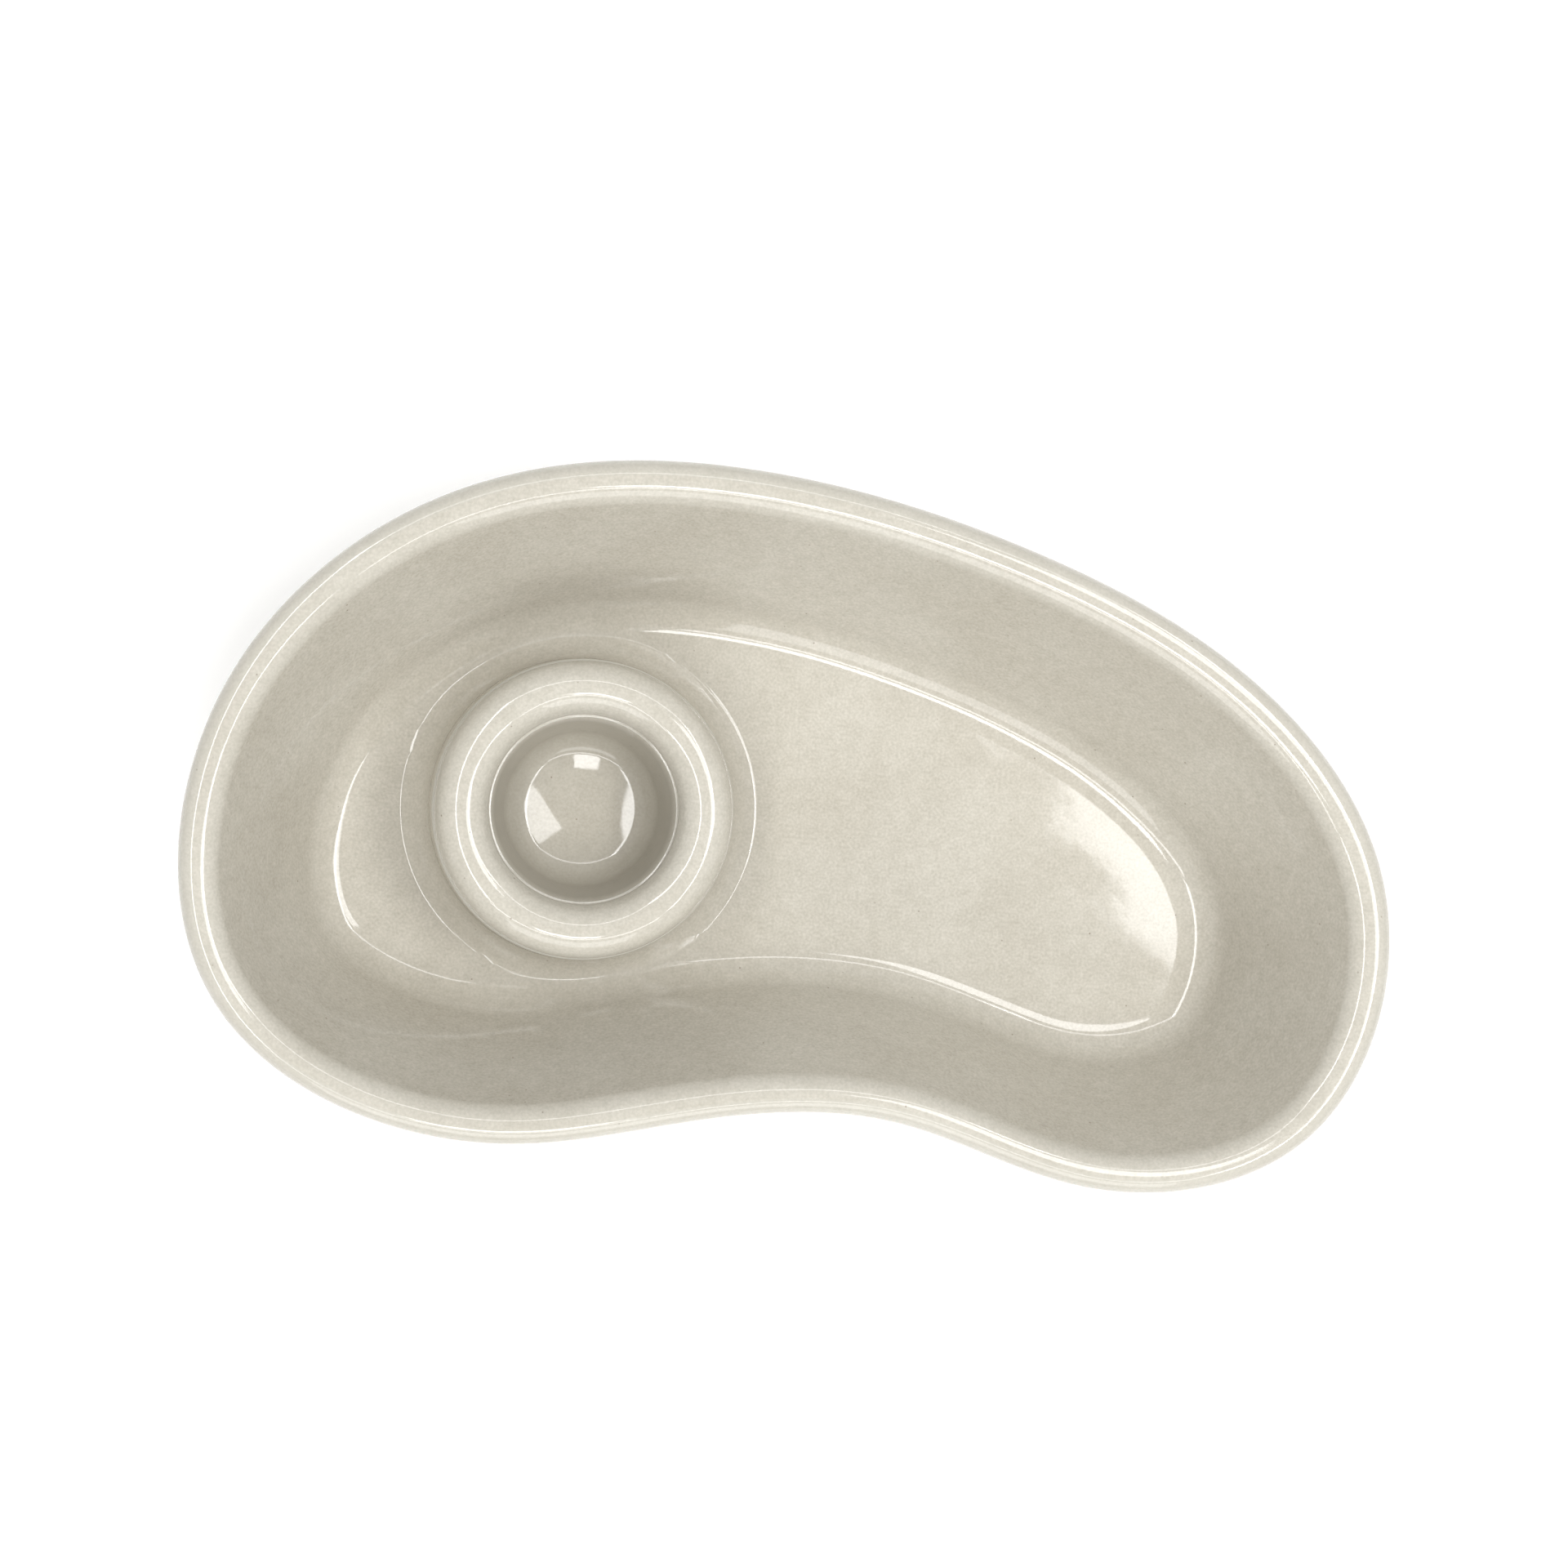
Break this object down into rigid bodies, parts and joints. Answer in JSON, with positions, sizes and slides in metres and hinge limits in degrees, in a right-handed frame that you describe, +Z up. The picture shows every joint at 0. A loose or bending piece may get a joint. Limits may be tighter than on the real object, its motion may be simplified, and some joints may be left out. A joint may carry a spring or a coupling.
{
  "type": "kidney-shaped dish with inner cup",
  "caption": "Kidney-shaped glazed stoneware dish with sloping walls and a rolled rim, and a round lipped cup that lifts out of a collar in its broad lobe.",
  "frame": {"origin": "on the plane that the dish stands on, under the middle of the dish's box", "axes": "+Z up out of the dish's mouth, +X along its length towards the narrow toe, +Y across it, away from the waist"},
  "size_m": [0.2498, 0.1411, 0.05],
  "materials": {
    "cream_glaze": "gloss glaze, pale cream with fine speckle"
  },
  "bodies": {
    "dish": {"kidney_dish": "cream_glaze"},
    "cup": {"inner_cup": "cream_glaze"}
  },
  "joints": [
    {"name": "cup_lift", "type": "slide", "parent": "dish", "child": "cup", "axis": [0, 0, 1], "range_m": [0, 0.055]}
  ]
}
